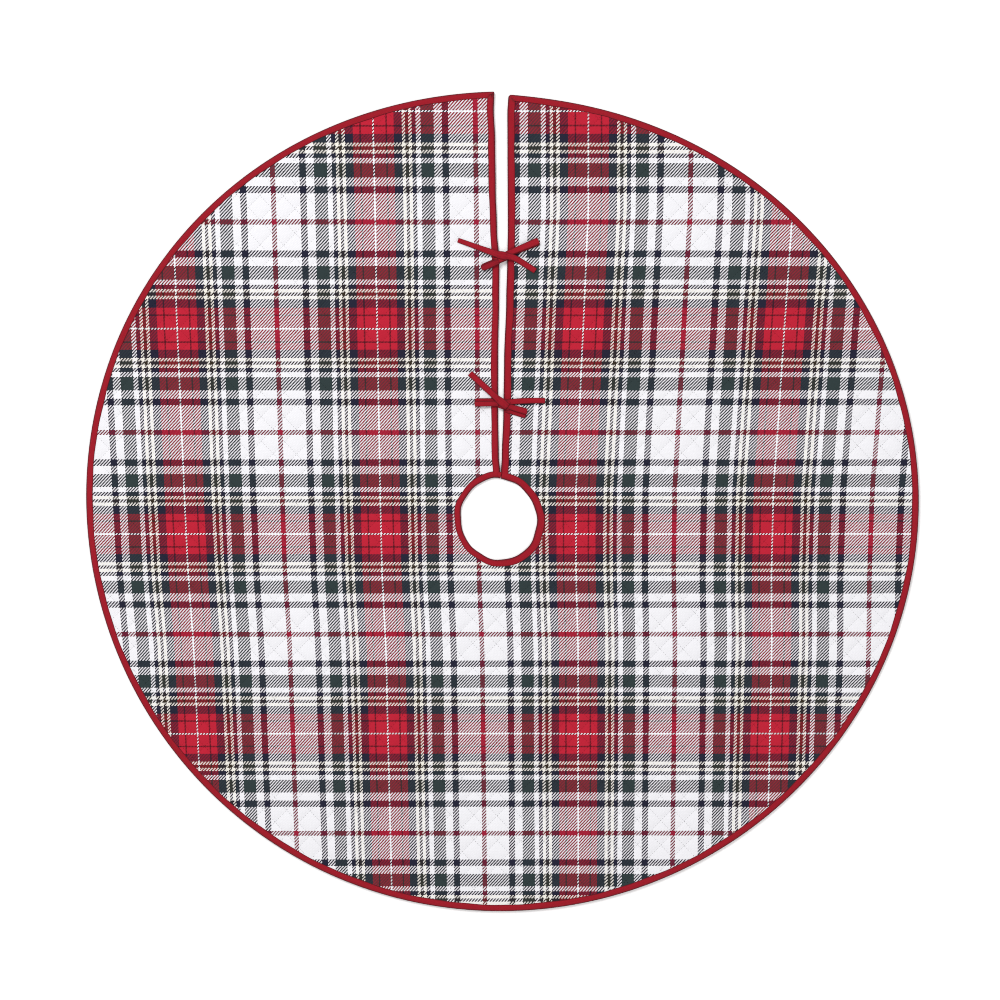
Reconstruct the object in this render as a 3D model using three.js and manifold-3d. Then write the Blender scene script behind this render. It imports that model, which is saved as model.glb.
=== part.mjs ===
// Tree skirt: a quilted plaid disc with a trunk hole, a slit and two tied bows.
// Millimetres, +Z up. The skirt lies flat. The origin is the middle of its outline, on the floor.
// The slit runs from the trunk hole to the rim, towards +Y.

import * as THREE from 'three';
import { mergeVertices } from 'three/addons/utils/BufferGeometryUtils.js';
import Module from 'manifold-3d';

// ---------------------------------------------------------------- driving dimensions

const SKIRT_WIDTH = 1219; // across, along X
const SKIRT_LENGTH = 1195; // along Y, before the step between the two flap ends

// The cloth lies a little out of round. Each value is a change of radius.
const RIM_LEAN = -2.0; // the oval leans towards one diagonal
const RIM_EGG_X = 1.7; // three-sided part, along X
const RIM_EGG_Y = 1.45; // three-sided part, along Y
const FLAP_STEP = 3.4; // the left flap end reaches this much further than the mean
const FLAP_STEP_SPREAD = 25; // degrees of rim over which that step dies away
const RIM_CENTRE_X = -1.58; // brings the outline's box onto the origin
const RIM_CENTRE_Y = -0.25;

const HOLE_RADIUS = 57.3; // clear trunk hole, inside its binding
const HOLE_CENTRE_X = -5.4;
const HOLE_CENTRE_Y = -25.6;
const HOLE_OVAL = -1.6; // the hole is longer along Y
const HOLE_LEAN = -1.4;

// The two edges of the slit as [share of the way from hole to rim, x].
// The bows draw the flaps together at their own places.
const LEFT_EDGE = [[0, -5.3], [0.17, -6.3], [0.33, -6.2], [0.47, -4.8], [0.56, -4.3], [0.65, -7.9],
  [0.75, -9.7], [0.88, -10.6], [0.96, -12.6], [1, -11.6]];
const RIGHT_EDGE = [[0, -2.2], [0.1, -0.8], [0.17, 1.3], [0.3, 2.4], [0.47, 5.6], [0.56, 7.0],
  [0.65, 7.9], [0.86, 7.4], [0.95, 7.2], [1, 9.0]];

const BINDING_WIDTH = 10; // how far the tape laps onto the quilt
const BINDING_CLOTH = 0.6; // folded tape
const FACE_CLOTH = 0.6;
const BATTING = 2.5;
const BACKING_CLOTH = 0.5;
const GAP = 0.3; // clearance between neighbouring cloths

const TIE_CLOTH = 1.2; // tie tape, folded and sewn
const TIE_WIDTH = 8;
const SLIM_TAIL_WIDTH = 6.2; // the upper left tail is twisted and looks slimmer
const LOOP_RISE = 3.6; // between the middles of a loop's lower and upper legs

const KNOT_HALF_WIDTH = 5;
const KNOT_HALF_LENGTH = 7.4;
const KNOT_HEIGHT = 6.5;

const LABEL_LENGTH = 30; // blank care label, under the rim
const LABEL_WIDTH = 20;
const LABEL_CLOTH = 0.35;
const LABEL_ANGLE = 215; // degrees round the rim

// How finely the curves are cut into straight steps.
const RIM_STEPS = 56;
const SLIT_STEPS = 14;
const HOLE_STEPS = 20;

// ---------------------------------------------------------------- layer heights

const BACKING_Z = BINDING_CLOTH + GAP;
const BATTING_Z = BACKING_Z + BACKING_CLOTH + GAP;
const FACE_Z = BATTING_Z + BATTING + GAP;
const FACE_TOP = FACE_Z + FACE_CLOTH;
const BINDING_TOP = FACE_TOP + GAP + BINDING_CLOTH;
const QUILT_INSET = BINDING_CLOTH + GAP; // quilt edge, inside the folded tape
const MITRE_GAP = 0.75 * GAP; // each side of a mitred corner stands back by this
const PAST_THE_FOLD = -1; // a pocket runs this far over the fold line, so the tape ends open

const LEFT = -1;
const RIGHT = 1;
const SIDES = [['left', LEFT], ['right', RIGHT]];

// ---------------------------------------------------------------- materials

const cloth = (colour, roughness = 0.9) =>
  new THREE.MeshStandardMaterial({ color: colour, roughness, metalness: 0 });

const MATERIALS = {
  face: cloth(0xb24a58),
  batting: cloth(0xf4f2ec),
  backing: cloth(0xe9e6df),
  tape: cloth(0xb01e30, 0.8),
  label: cloth(0xffffff),
};

// ---------------------------------------------------------------- outline curves

const radians = THREE.MathUtils.degToRad;

function rimRadius(angle) {
  const mean = (SKIRT_WIDTH + SKIRT_LENGTH) / 4;
  const oval = (SKIRT_WIDTH - SKIRT_LENGTH) / 4;
  const a = radians(angle);
  const fromSlit = Math.abs(((angle + 90) % 360 + 360) % 360 - 180);
  const step = FLAP_STEP * Math.exp(-fromSlit / FLAP_STEP_SPREAD);
  const side = Math.cos(a) > 0 ? RIGHT : LEFT;
  return mean + oval * Math.cos(2 * a) + RIM_LEAN * Math.sin(2 * a)
    + RIM_EGG_X * Math.cos(3 * a) + RIM_EGG_Y * Math.sin(3 * a) - side * step;
}

function holeRadius(angle) {
  const a = radians(angle);
  return HOLE_RADIUS + HOLE_OVAL * Math.cos(2 * a) + HOLE_LEAN * Math.sin(2 * a);
}

function rimPoint(angle, inset) {
  const r = rimRadius(angle) - inset;
  return new THREE.Vector2(
    RIM_CENTRE_X + r * Math.cos(radians(angle)), RIM_CENTRE_Y + r * Math.sin(radians(angle)));
}

function holePoint(angle, inset) {
  const r = holeRadius(angle) + inset;
  return new THREE.Vector2(
    HOLE_CENTRE_X + r * Math.cos(radians(angle)), HOLE_CENTRE_Y + r * Math.sin(radians(angle)));
}

const SLIT_FOOT = HOLE_CENTRE_Y + HOLE_RADIUS;
const SLIT_HEAD = SKIRT_LENGTH / 2;

function slitEdge(side, y) {
  const stations = side === LEFT ? LEFT_EDGE : RIGHT_EDGE;
  const share = THREE.MathUtils.clamp((y - SLIT_FOOT) / (SLIT_HEAD - SLIT_FOOT), 0, 1);
  const next = Math.max(1, stations.findIndex(([s]) => s >= share));
  const [s0, x0] = stations[next - 1];
  const [s1, x1] = stations[next];
  return THREE.MathUtils.lerp(x0, x1, THREE.MathUtils.smoothstep(share, s0, s1));
}

// ---------------------------------------------------------------- corners of one half

function bisect(f, inside, outside) {
  let a = inside;
  let b = outside;
  for (let i = 0; i < 50; i += 1) {
    const middle = (a + b) / 2;
    if (f(middle) > 0) a = middle;
    else b = middle;
  }
  return (a + b) / 2;
}

// How far a point stands into its half from the slit edge.
const pastSlit = (side, p) => side * (p.x - slitEdge(side, p.y));

const rimAtSlit = (side, rim, slit) =>
  bisect((a) => pastSlit(side, rimPoint(a, rim)) - slit, 90 - side * 45, 90 + side * 5);
const rimAtFold = (side, rim, fold) =>
  bisect((a) => side * rimPoint(a, rim).x - fold, 270 + side * 30, 270 - side * 10);
const holeAtSlit = (side, hole, slit) =>
  bisect((a) => pastSlit(side, holePoint(a, hole)) - slit, 90 - side * 80, 90 + side * 40);
const holeAtFold = (side, hole, fold) =>
  bisect((a) => side * holePoint(a, hole).x - fold, 270 + side * 60, 270 - side * 60);

// Round stretches, all drawn from the fold line to the slit along the side's own half.
function rimArc(side, rim, fold, rimAtCorner, slit) {
  const from = rimAtFold(side, rim, fold) - (side === RIGHT ? 360 : 0);
  const to = rimAtSlit(side, rimAtCorner, slit);
  return steps(RIM_STEPS, (t) => rimPoint(THREE.MathUtils.lerp(from, to, t), rim));
}

function holeArc(side, hole, fold, slit) {
  const from = holeAtFold(side, hole, fold) - (side === RIGHT ? 360 : 0);
  const to = holeAtSlit(side, hole, slit);
  return steps(HOLE_STEPS, (t) => holePoint(THREE.MathUtils.lerp(from, to, t), hole));
}

function slitLine(side, slit, yFrom, yTo) {
  return steps(SLIT_STEPS, (t) => {
    const y = THREE.MathUtils.lerp(yFrom, yTo, t);
    return new THREE.Vector2(slitEdge(side, y) + side * slit, y);
  });
}

function steps(count, pointAt) {
  return Array.from({ length: count + 1 }, (_, i) => pointAt(i / count));
}

// ---------------------------------------------------------------- flat outlines

// One half of the skirt, set in from the rim, the slit, the hole and the fold line.
function halfOutline(side, inset, fold) {
  const rim = rimArc(side, inset, fold, inset, inset);
  const hole = holeArc(side, inset, fold, inset);
  const head = rim[rim.length - 1].y;
  const foot = hole[hole.length - 1].y;
  const slit = slitLine(side, inset, head, foot).slice(1, -1);
  return [...rim, ...slit, ...hole.reverse()];
}

function rimStrip(side) {
  const fold = GAP / 2;
  const outer = rimArc(side, 0, fold, 0, MITRE_GAP);
  const inner = rimArc(side, BINDING_WIDTH, fold, BINDING_WIDTH, BINDING_WIDTH + MITRE_GAP);
  return [...outer, ...inner.reverse()];
}

function slitStrip(side) {
  const top = (slit) => rimPoint(rimAtSlit(side, slit + MITRE_GAP, slit), slit + MITRE_GAP).y;
  const ring = BINDING_WIDTH + GAP;
  const bottom = (slit) => holePoint(holeAtSlit(side, ring, slit), ring);
  const outer = slitLine(side, 0, top(0), bottom(0).y);
  const inner = slitLine(side, BINDING_WIDTH, bottom(BINDING_WIDTH).y, top(BINDING_WIDTH));
  return [...outer, bottom(BINDING_WIDTH / 3), bottom(BINDING_WIDTH * 2 / 3), ...inner];
}

function holeStrip(side) {
  const fold = GAP / 2;
  return [...holeArc(side, 0, fold, 0), ...holeArc(side, BINDING_WIDTH, fold, 0).reverse()];
}

// ---------------------------------------------------------------- solids

const wasm = await Module();
wasm.setup();

function extrudeFlat(points, low, high) {
  const shape = new THREE.Shape(points);
  const solid = new THREE.ExtrudeGeometry(shape, { depth: high - low, bevelEnabled: false });
  return solid.translate(0, 0, low);
}

function toManifold(geometry) {
  const bare = geometry.clone();
  bare.deleteAttribute('normal');
  bare.deleteAttribute('uv');
  const merged = mergeVertices(bare, 1e-4);
  return new wasm.Manifold(new wasm.Mesh({
    numProp: 3,
    vertProperties: new Float32Array(merged.attributes.position.array),
    triVerts: new Uint32Array(merged.index.array),
  }));
}

function fromManifold(solid) {
  const mesh = solid.getMesh();
  const geometry = new THREE.BufferGeometry();
  geometry.setAttribute('position', new THREE.BufferAttribute(mesh.vertProperties, 3));
  geometry.setIndex(new THREE.BufferAttribute(mesh.triVerts, 1));
  geometry.computeVertexNormals();
  return geometry;
}

// Tape folded over an edge: the full strip less the pocket that the quilt fills.
function foldedTape(strip, pocket) {
  return fromManifold(toManifold(extrudeFlat(strip, 0, BINDING_TOP)).subtract(pocket));
}

// Flat tape along a path. Its width stays level where the path runs level.
function tapeAlong(points, width) {
  const thick = TIE_CLOTH / 2;
  const wide = width / 2;
  const bevel = TIE_CLOTH / 3;
  const section = new THREE.Shape([
    [thick, wide - bevel], [thick - bevel, wide], [bevel - thick, wide], [-thick, wide - bevel],
    [-thick, bevel - wide], [bevel - thick, -wide], [thick - bevel, -wide], [thick, bevel - wide],
  ].map(([x, y]) => new THREE.Vector2(x, y)));
  const path = new THREE.CatmullRomCurve3(points.map((p) => new THREE.Vector3(...p)));
  const pathSteps = Math.max(14, Math.round(path.getLength() / 3));
  return new THREE.ExtrudeGeometry(section, { steps: pathSteps, extrudePath: path });
}

// ---------------------------------------------------------------- quilt layers and bindings

const skirt = new THREE.Group();

function add(name, geometry, material) {
  const mesh = new THREE.Mesh(geometry, material);
  mesh.name = name;
  skirt.add(mesh);
  return mesh;
}

function addHalf(sideName, side) {
  const layer = (low, high) => extrudeFlat(halfOutline(side, QUILT_INSET, GAP / 2), low, high);
  add(`backing_${sideName}`, layer(BACKING_Z, BACKING_Z + BACKING_CLOTH), MATERIALS.backing);
  add(`batting_${sideName}`, layer(BATTING_Z, BATTING_Z + BATTING), MATERIALS.batting);
  add(`face_${sideName}`, layer(FACE_Z, FACE_TOP), MATERIALS.face);

  const pocket = toManifold(extrudeFlat(halfOutline(side, BINDING_CLOTH, PAST_THE_FOLD),
    BINDING_CLOTH, BINDING_TOP - BINDING_CLOTH));
  add(`rim_binding_${sideName}`, foldedTape(rimStrip(side), pocket), MATERIALS.tape);
  add(`slit_binding_${sideName}`, foldedTape(slitStrip(side), pocket), MATERIALS.tape);
  add(`hole_binding_${sideName}`, foldedTape(holeStrip(side), pocket), MATERIALS.tape);
}

SIDES.forEach(([name, side]) => addHalf(name, side));

// ---------------------------------------------------------------- bows

// Heights over the floor of the middle of the tape.
const REST = FACE_TOP + GAP + TIE_CLOTH / 2; // a tail that lies on the face cloth
const LOW = BINDING_TOP + GAP + TIE_CLOTH / 2; // a loop's lower leg
const HIGH = LOW + LOOP_RISE; // its upper leg
const OVER = HIGH + TIE_CLOTH + GAP; // a tail that crosses over a loop
const KNOT_MIDDLE = BINDING_TOP + GAP + KNOT_HEIGHT / 2;

// A loop leaves the knot level, turns over at its tip and comes back above itself.
function loopPath([rootX, rootY], [tipX, tipY]) {
  const bend = (HIGH - LOW) / 2;
  const length = Math.hypot(tipX - rootX, tipY - rootY);
  const at = (distance, z) => [
    THREE.MathUtils.mapLinear(distance, 0, length, rootX, tipX),
    THREE.MathUtils.mapLinear(distance, 0, length, rootY, tipY), z];
  const legs = [0, 0.25, 0.5, 0.75].map((share) => share * (length - bend));
  const turn = [-90, -45, 0, 45, 90].map((a) => at(
    length - bend + bend * Math.cos(radians(a)), LOW + bend + bend * Math.sin(radians(a))));
  return [...legs.map((d) => at(d, LOW)), ...turn, ...legs.reverse().map((d) => at(d, HIGH))];
}

const BOWS = [
  {
    name: 'upper_bow',
    y: 358.4,
    tails: [
      { name: 'left_tail', width: SLIM_TAIL_WIDTH,
        path: [[-5.6, 361.2, OVER], [-14, 364.2, OVER - 0.6], [-26, 368.6, 8.6], [-45, 375.8, REST + 0.2],
          [-65, 382.9, REST]] },
      { name: 'right_tail', width: TIE_WIDTH,
        path: [[5.6, 359.2, OVER], [14, 357.6, OVER], [21, 354.7, OVER - 1], [29, 350.2, 8.2],
          [38, 344.6, REST + 0.2], [48.2, 338, REST]] },
    ],
    loops: [
      { name: 'left_loop', root: [-5.6, 352.6], tip: [-30.7, 342.4] },
      { name: 'right_loop', root: [5.6, 361.4], tip: [52.6, 381.0] },
    ],
  },
  {
    name: 'lower_bow',
    y: 142.0,
    tails: [
      { name: 'left_tail', width: TIE_WIDTH,
        path: [[-5.6, 149.4, OVER], [-13, 156.3, OVER], [-18, 161, OVER - 0.8], [-26, 168.4, 8.4],
          [-36, 177.7, REST + 0.2], [-47.4, 188.3, REST]] },
      { name: 'right_tail', width: TIE_WIDTH - 1,
        path: [[5.6, 145.3, 8.6], [15, 146.4, 8.2], [28, 147.6, 6.8], [45, 148.2, REST],
          [62.3, 148.1, REST]] },
    ],
    loops: [
      { name: 'left_loop', root: [-5.6, 145.8], tip: [-40.1, 145.7] },
      { name: 'right_loop', root: [5.6, 137.4], tip: [34.9, 129.4] },
    ],
  },
];

function addBow(bow) {
  const knot = new THREE.SphereGeometry(1, 16, 10);
  knot.scale(KNOT_HALF_WIDTH, KNOT_HALF_LENGTH, KNOT_HEIGHT / 2);
  add(`${bow.name}_knot`, knot, MATERIALS.tape).position.set(0, bow.y, KNOT_MIDDLE);
  bow.tails.forEach(({ name, path, width }) => {
    add(`${bow.name}_${name}`, tapeAlong(path, width), MATERIALS.tape);
  });
  bow.loops.forEach(({ name, root, tip }) => {
    add(`${bow.name}_${name}`, tapeAlong(loopPath(root, tip), TIE_WIDTH), MATERIALS.tape);
  });
}

BOWS.forEach(addBow);

// ---------------------------------------------------------------- care label

// The label lies square to the tape's inner edge and stands a little clear of it.
function addCareLabel() {
  const edge = rimPoint(LABEL_ANGLE, BINDING_WIDTH);
  const along = rimPoint(LABEL_ANGLE + 1, BINDING_WIDTH).sub(rimPoint(LABEL_ANGLE - 1, BINDING_WIDTH));
  const inward = new THREE.Vector2(-along.y, along.x).normalize();
  const middle = edge.addScaledVector(inward, 2 * GAP + LABEL_LENGTH / 2);
  const label = new THREE.BoxGeometry(LABEL_LENGTH, LABEL_WIDTH, LABEL_CLOTH);
  const mesh = add('care_label', label, MATERIALS.label);
  mesh.rotation.z = inward.angle();
  mesh.position.set(middle.x, middle.y, BACKING_Z - GAP - LABEL_CLOTH / 2);
}

addCareLabel();

export default skirt;
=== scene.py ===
"""A quilted plaid tree skirt, bound in red bias tape, with its slit closed by two tied bows.

Lengths are in millimetres until a piece is made, and the frame is in metres.
The cloth has its own measure: every point of it knows which thread of the plaid it lies on.
"""
import math

import bmesh
import bpy
import numpy as np
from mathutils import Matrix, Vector


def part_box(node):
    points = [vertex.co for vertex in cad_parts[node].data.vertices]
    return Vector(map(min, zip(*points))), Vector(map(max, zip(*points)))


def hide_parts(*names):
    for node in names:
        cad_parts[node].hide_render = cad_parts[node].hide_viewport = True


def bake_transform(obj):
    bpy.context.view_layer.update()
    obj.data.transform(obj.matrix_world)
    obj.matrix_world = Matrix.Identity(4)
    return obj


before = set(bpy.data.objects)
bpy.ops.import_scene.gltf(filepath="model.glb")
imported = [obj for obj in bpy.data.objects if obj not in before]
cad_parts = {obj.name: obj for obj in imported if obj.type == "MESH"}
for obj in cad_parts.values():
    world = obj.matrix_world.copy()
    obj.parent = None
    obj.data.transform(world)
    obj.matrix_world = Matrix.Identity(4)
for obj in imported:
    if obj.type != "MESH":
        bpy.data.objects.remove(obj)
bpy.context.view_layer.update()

MM = 0.001

# ------------------------------------------------------------------ sizes, as in the CAD model

SKIRT_WIDTH, SKIRT_LENGTH = 1219, 1195
RIM_CENTRE = (-1.58, -0.25)
RIM_LEAN, RIM_EGG_X, RIM_EGG_Y = -2.0, 1.7, 1.45
FLAP_STEP, FLAP_STEP_SPREAD = 3.4, 25
HOLE_CENTRE, HOLE_RADIUS = (-5.4, -25.6), 57.3
HOLE_OVAL, HOLE_LEAN, HOLE_POINT = -1.6, -1.4, 1.8
SLIT_FOOT, SLIT_HEAD = HOLE_CENTRE[1] + HOLE_RADIUS, SKIRT_LENGTH / 2
LEFT, RIGHT = -1, 1
# How far each flap's corner is drawn out, and over how many degrees of the rim.
FLAP_TIP = {LEFT: (1.8, 12.0), RIGHT: (5.0, 6.0)}
# Each slit edge as [share of the way from hole to rim, x]. The edges all but meet at the trunk hole.
SLIT_EDGES = {
    LEFT: [[0, -3.2], [0.02, -3.3], [0.06, -5.2], [0.17, -6.3], [0.33, -6.2], [0.47, -4.8], [0.56, -4.3],
           [0.65, -7.9], [0.75, -9.7], [0.88, -10.6], [0.96, -12.6], [1, -11.6]],
    RIGHT: [[0, -2.4], [0.02, -2.2], [0.06, -0.9], [0.17, 1.3], [0.3, 2.4], [0.47, 5.6], [0.56, 7.0],
            [0.65, 7.9], [0.86, 7.4], [0.95, 7.2], [1, 9.0]],
}
CORNER_ROUND = {LEFT: 2.0, RIGHT: 4.5}
TAPE_WIDTH = 10.0

# The plaid's repeat, as a number of threads and as its size across and up, and the middle of one red band.
REPEAT_THREADS, REPEAT_ACROSS, REPEAT_UP = 250, 285.4, 295.0
RED_BAND_X, RED_BAND_Y = 107.7, -47

CLEAR_OF_RIM = 640  # a radius that takes in the whole skirt

# Quilting lines: which way they face, how far apart they run and where the first one lies.
QUILTING = {"rising": (math.radians(-44.2), 25.2, 12.4), "falling": (math.radians(43.0), 24.37, 22.1)}


def eased(value, low, high):
    share = np.clip((value - low) / (high - low), 0, 1)
    return share * share * (3 - 2 * share)


def rim_radius(angle):
    mean, oval = (SKIRT_WIDTH + SKIRT_LENGTH) / 4, (SKIRT_WIDTH - SKIRT_LENGTH) / 4
    from_slit = np.abs((np.degrees(angle) + 90) % 360 - 180)
    step = FLAP_STEP * np.exp(-from_slit / FLAP_STEP_SPREAD)
    left, right = [far * np.exp(-from_slit / spread) for far, spread in FLAP_TIP.values()]
    tip = np.where(np.cos(angle) > 0, right, left)
    return (mean + oval * np.cos(2 * angle) + RIM_LEAN * np.sin(2 * angle) + RIM_EGG_X * np.cos(3 * angle)
            + RIM_EGG_Y * np.sin(3 * angle) - np.where(np.cos(angle) > 0, 1, -1) * step + tip)


def hole_radius(angle):
    """The hole is drawn out to a slight point where the slit runs into it."""
    from_slit = (np.degrees(angle) - 93 + 180) % 360 - 180
    point = HOLE_POINT * np.exp(-(from_slit / 15) ** 2)
    uneven = 0.45 * np.sin(7 * angle + 0.8) + 0.35 * np.sin(11 * angle + 2)
    return HOLE_RADIUS + HOLE_OVAL * np.cos(2 * angle) + HOLE_LEAN * np.sin(2 * angle) + point + uneven


def rim_point(angle):
    r = rim_radius(angle)
    return np.stack([RIM_CENTRE[0] + r * np.cos(angle), RIM_CENTRE[1] + r * np.sin(angle)], -1)


def hole_point(angle):
    r = hole_radius(angle)
    return np.stack([HOLE_CENTRE[0] + r * np.cos(angle), HOLE_CENTRE[1] + r * np.sin(angle)], -1)


def slit_edge(side, y):
    places, values = np.array(SLIT_EDGES[side], float).T
    share = np.clip((np.asarray(y, float) - SLIT_FOOT) / (SLIT_HEAD - SLIT_FOOT), 0, 1)
    i = np.clip(np.searchsorted(places, share, side="right"), 1, len(places) - 1)
    t = eased(share, places[i - 1], places[i])
    return values[i - 1] + (values[i] - values[i - 1]) * t


def slit_middle(y):
    return (slit_edge(LEFT, y) + slit_edge(RIGHT, y)) / 2


def room(x, y, side):
    """How far a point stands inside the cloth, from the rim, the hole and its own side of the slit."""
    rx, ry, hx, hy = x - RIM_CENTRE[0], y - RIM_CENTRE[1], x - HOLE_CENTRE[0], y - HOLE_CENTRE[1]
    rim = rim_radius(np.arctan2(ry, rx)) - np.hypot(rx, ry)
    hole = np.hypot(hx, hy) - hole_radius(np.arctan2(hy, hx))
    from_edge = np.where(side < 0, slit_edge(LEFT, y) - x, x - slit_edge(RIGHT, y))
    slit = np.where(y > SLIT_FOOT - 20, from_edge, 1e3)
    return np.minimum(np.minimum(rim, hole), slit)


def side_of(x, y):
    return np.where(x < slit_middle(y), LEFT, RIGHT)


# ------------------------------------------------------------------ how the cloth lies

def ease_of_cloth(x, y):
    """The whole skirt lies in long, shallow waves that lift it a little off the floor towards the rim."""
    angle, out = np.arctan2(y, x), np.hypot(x, y)
    wave = 0.5 + 0.26 * np.sin(3 * angle + 0.9) + 0.24 * np.sin(5 * angle - 1.7 + out / 240)
    return 2.4 * eased(out, 230, 600) * wave


def threads(x, y, side):
    """Which thread across and which thread up the plaid a point of the cloth lies on.
    The cloth is a little stretched towards the slit, and more on the right flap."""
    flap = np.clip((y - 17) / 410, 0, 1) * np.where(side > 0, 18.0, 2.5)
    spread = REPEAT_ACROSS * (1 + 8.27e-5 * (y + 41))
    across = (x - RED_BAND_X - flap - 3.2 * eased(-y, 85, 230)) / spread
    across = np.where(across > 0, across / 1.008, across)
    up = (y - RED_BAND_Y) / REPEAT_UP
    up = up - 0.0136 * up ** 2 - 0.0041 * up ** 3
    return np.stack([REPEAT_THREADS * across, REPEAT_THREADS * up, 0 * x], -1)


def quilt_place(x, y):
    """A point's place in the diamonds: whole numbers lie on the stitched lines."""
    return [(x * math.cos(a) + y * math.sin(a) - first) / apart for a, apart, first in QUILTING.values()]


def puff(x, y, inside):
    """From 0 on a stitched line to about 1 in the middle of a diamond. It dies away beside the bindings."""
    a, b = quilt_place(x, y)
    fullness = 1 + 0.13 * np.sin(2.1 * np.floor(a) + 4.3 * np.floor(b)) * np.sin(1.3 * np.floor(b) - 0.4)
    full = (16 * (a % 1) * (1 - a % 1) * (b % 1) * (1 - b % 1)) ** 0.45 * fullness
    return full, eased(inside, 8.5, 17)


def face_height(x, y, inside):
    full, free = puff(x, y, inside)
    return (1 - free) * 4.8 + free * (3.95 + 1.45 * full)


def back_height(x, y, inside):
    full, free = puff(x, y, inside)
    return (1 - free) * 1.05 + free * (1.35 - 0.75 * full)


# ------------------------------------------------------------------ camera

camera_data = bpy.data.cameras.new("camera")
camera_data.lens, camera_data.sensor_width = 85, 36
camera_data.clip_start, camera_data.clip_end = 0.05, 60
camera = bpy.data.objects.new("camera", camera_data)
bpy.context.scene.collection.objects.link(camera)
camera.location = (-0.0035, 0.0028, 3.461)
bpy.context.scene.camera = camera

# ------------------------------------------------------------------ materials


def linear(*srgb):
    """A colour given as 0 to 255, as light."""
    shares = [c / 255 for c in srgb]
    return [c / 12.92 if c <= 0.04045 else ((c + 0.055) / 1.055) ** 2.4 for c in shares] + [1.0]


class Finish:
    """A node material, built one step at a time."""

    def __init__(self, name, roughness, sheen=0.0):
        self.material = bpy.data.materials.new(name)
        self.material.use_nodes = True
        self.tree = self.material.node_tree
        self.shader = self.tree.nodes["Principled BSDF"]
        self.shader.inputs["Roughness"].default_value = roughness
        self.shader.inputs["Specular IOR Level"].default_value = 0.15
        self.shader.inputs["Sheen Weight"].default_value = sheen
        self.shader.inputs["Sheen Roughness"].default_value = 0.6

    def add(self, kind, inputs, out=0, **settings):
        node = self.tree.nodes.new("ShaderNode" + kind)
        for key, value in settings.items():
            setattr(node, key, value)
        for slot, value in inputs.items():
            if isinstance(value, bpy.types.NodeSocket):
                self.tree.links.new(value, node.inputs[slot])
            else:
                node.inputs[slot].default_value = value
        return node.outputs[out]

    def math(self, operation, *values):
        return self.add("Math", dict(enumerate(values)), operation=operation)

    def mix(self, share, a, b, blend="MIX"):
        return self.add("Mix", {0: share, 6: a, 7: b}, 2, data_type="RGBA", blend_type=blend)

    def grey(self, value):
        return self.add("CombineColor", {0: value, 1: value, 2: value})

    def noise(self, scale, detail=2.0, at=None, stretch=None):
        if at is None:
            at = self.add("TexCoord", {}, "Object")
        if stretch:
            at = self.add("VectorMath", {0: at, 1: stretch}, operation="MULTIPLY")
        return self.add("TexNoise", {"Vector": at, "Scale": scale, "Detail": detail}, "Fac")

    def between(self, value, low, high):
        return self.add("MapRange", {0: value, 3: low, 4: high})

    def weave(self):
        """The two cloth coordinates of a point."""
        place = self.add("Attribute", {}, "Vector", attribute_name="weave", attribute_type="GEOMETRY")
        return [self.add("SeparateXYZ", {0: place}, i) for i in (0, 1)]

    def finish(self, colour, height, depth, strength=1.0):
        self.tree.links.new(colour, self.shader.inputs["Base Color"])
        bump = self.add("Bump", {"Height": height, "Distance": depth, "Strength": strength})
        self.tree.links.new(bump, self.shader.inputs["Normal"])
        return self.material


# Half a repeat of the plaid from the middle of its red band outwards, as threads of each yarn.
# The other half mirrors it, and it runs the same across and up the cloth.
YARNS = {"white": (243, 242, 246), "red": (191, 30, 53), "black": (80, 14, 26), "navy": (32, 32, 52),
         "cream": (242, 238, 228), "olive": (50, 40, 28), "green": (46, 59, 60), "crimson": (156, 28, 56)}
SETT = [(1, "white"), (14, "red"), (2, "black"), (8, "red"), (10, "navy"), (4, "cream"), (4, "olive"),
        (4, "cream"), (5, "navy"), (6, "white"), (16, "green"), (10, "white"), (8, "navy"), (30, "white"),
        (3, "crimson")]
HALF_REPEAT = sum(count for count, _ in SETT)


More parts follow.
